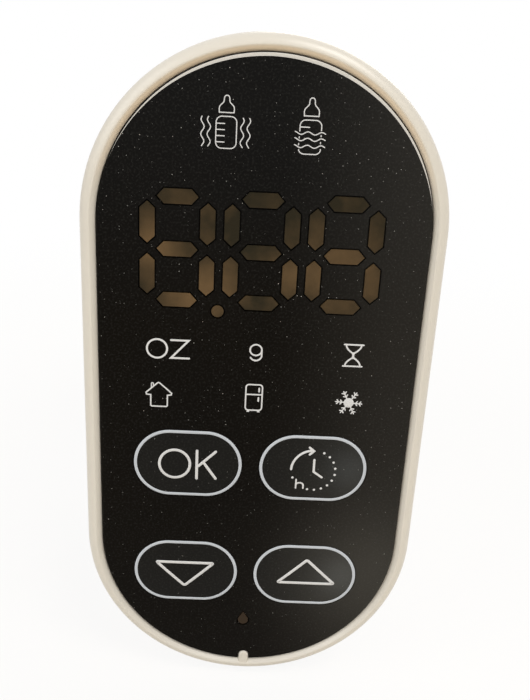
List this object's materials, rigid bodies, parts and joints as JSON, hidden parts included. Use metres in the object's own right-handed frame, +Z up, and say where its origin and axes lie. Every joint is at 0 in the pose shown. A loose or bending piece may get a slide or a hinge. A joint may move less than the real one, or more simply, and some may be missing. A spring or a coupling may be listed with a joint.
{
  "type": "portable bottle warmer",
  "caption": "Upright cordless bottle warmer: pill-shaped control pod with display and keys in front of a round heated cup with a lift-out basket.",
  "frame": {"origin": "on the table, under the middle of the part's box", "axes": "+Z up, +X to the right seen from the front, +Y from the control face to the back of the cup"},
  "size_m": [0.085, 0.1204, 0.1418],
  "materials": {
    "face_sheet": "satin black sheet",
    "cream_shell": "satin cream plastic",
    "window_smoke": "smoky window",
    "key_black": "satin black key",
    "white_plastic": "white reflector plastic",
    "circuit_board": "green board",
    "dark_plastic": "dark moulded plastic",
    "soft_rubber": "soft dark rubber",
    "steel_parts": "bright steel",
    "steel_well": "brushed steel",
    "light_alloy": "cast alloy",
    "cell_wrap": "wrapped cell",
    "contact_metal": "spring contact",
    "wool_wrap": "heat wool",
    "basket_plastic": "frosted food-safe plastic"
  },
  "bodies": {
    "housing": {"front_panel": "face_sheet", "bezel": "cream_shell", "pod_shell": "cream_shell", "cup_shell": "cream_shell", "rim_ring": "cream_shell", "base_cover": "cream_shell", "segment_windows": "window_smoke", "display_film": "white_plastic", "display_box": "white_plastic", "indicator_leds": "white_plastic", "control_board": "circuit_board", "charge_board": "circuit_board", "power_board": "circuit_board", "key_switches": "dark_plastic", "buzzer": "dark_plastic", "battery_cradle": "dark_plastic", "power_switch": "dark_plastic", "power_parts": "dark_plastic", "pod_foot": "soft_rubber", "feet": "soft_rubber", "cup_gasket": "soft_rubber", "wire_grommet": "soft_rubber", "wire_harness": "soft_rubber", "heater_leads": "soft_rubber", "board_screws": "steel_parts", "bezel_screws": "steel_parts", "charge_screws": "steel_parts", "joining_screws": "steel_parts", "shield_screws": "steel_parts", "power_board_screws": "steel_parts", "base_screws": "steel_parts", "charge_socket": "steel_parts", "flap_pin": "steel_parts", "temperature_probe": "steel_parts", "heat_shield": "steel_parts", "heating_element": "steel_parts", "heating_cup": "steel_well", "heater_plate": "light_alloy", "battery_cell_1": "cell_wrap", "battery_cell_2": "cell_wrap", "battery_contacts": "contact_metal", "thermal_fuse": "contact_metal", "insulation_sleeve": "wool_wrap"},
    "ok_key": {"key_ok": "key_black"},
    "timer_key": {"key_timer": "key_black"},
    "down_key": {"key_down": "key_black"},
    "up_key": {"key_up": "key_black"},
    "flap": {"port_flap": "soft_rubber"},
    "slider": {"switch_slider": "dark_plastic"},
    "basket": {"bottle_basket": "basket_plastic"}
  },
  "joints": [
    {"name": "ok_press", "type": "slide", "parent": "housing", "child": "ok_key", "axis": [0, 1, 0], "range_m": [0, 0.0005], "stiffness_N_per_m": 600},
    {"name": "timer_press", "type": "slide", "parent": "housing", "child": "timer_key", "axis": [0, 1, 0], "range_m": [0, 0.0005], "stiffness_N_per_m": 600},
    {"name": "down_press", "type": "slide", "parent": "housing", "child": "down_key", "axis": [0, 1, 0], "range_m": [0, 0.0005], "stiffness_N_per_m": 600},
    {"name": "up_press", "type": "slide", "parent": "housing", "child": "up_key", "axis": [0, 1, 0], "range_m": [0, 0.0005], "stiffness_N_per_m": 600},
    {"name": "flap_hinge", "type": "hinge", "parent": "housing", "child": "flap", "pos_m": [0.0342, -0.03555, 0.05], "axis": [0, 0, 1], "range_deg": [0, 100]},
    {"name": "power_slide", "type": "slide", "parent": "housing", "child": "slider", "axis": [0, 0, 1], "range_m": [0, 0.004]},
    {"name": "basket_lift", "type": "slide", "parent": "housing", "child": "basket", "axis": [0, 0, 1], "range_m": [0, 0.08]}
  ]
}
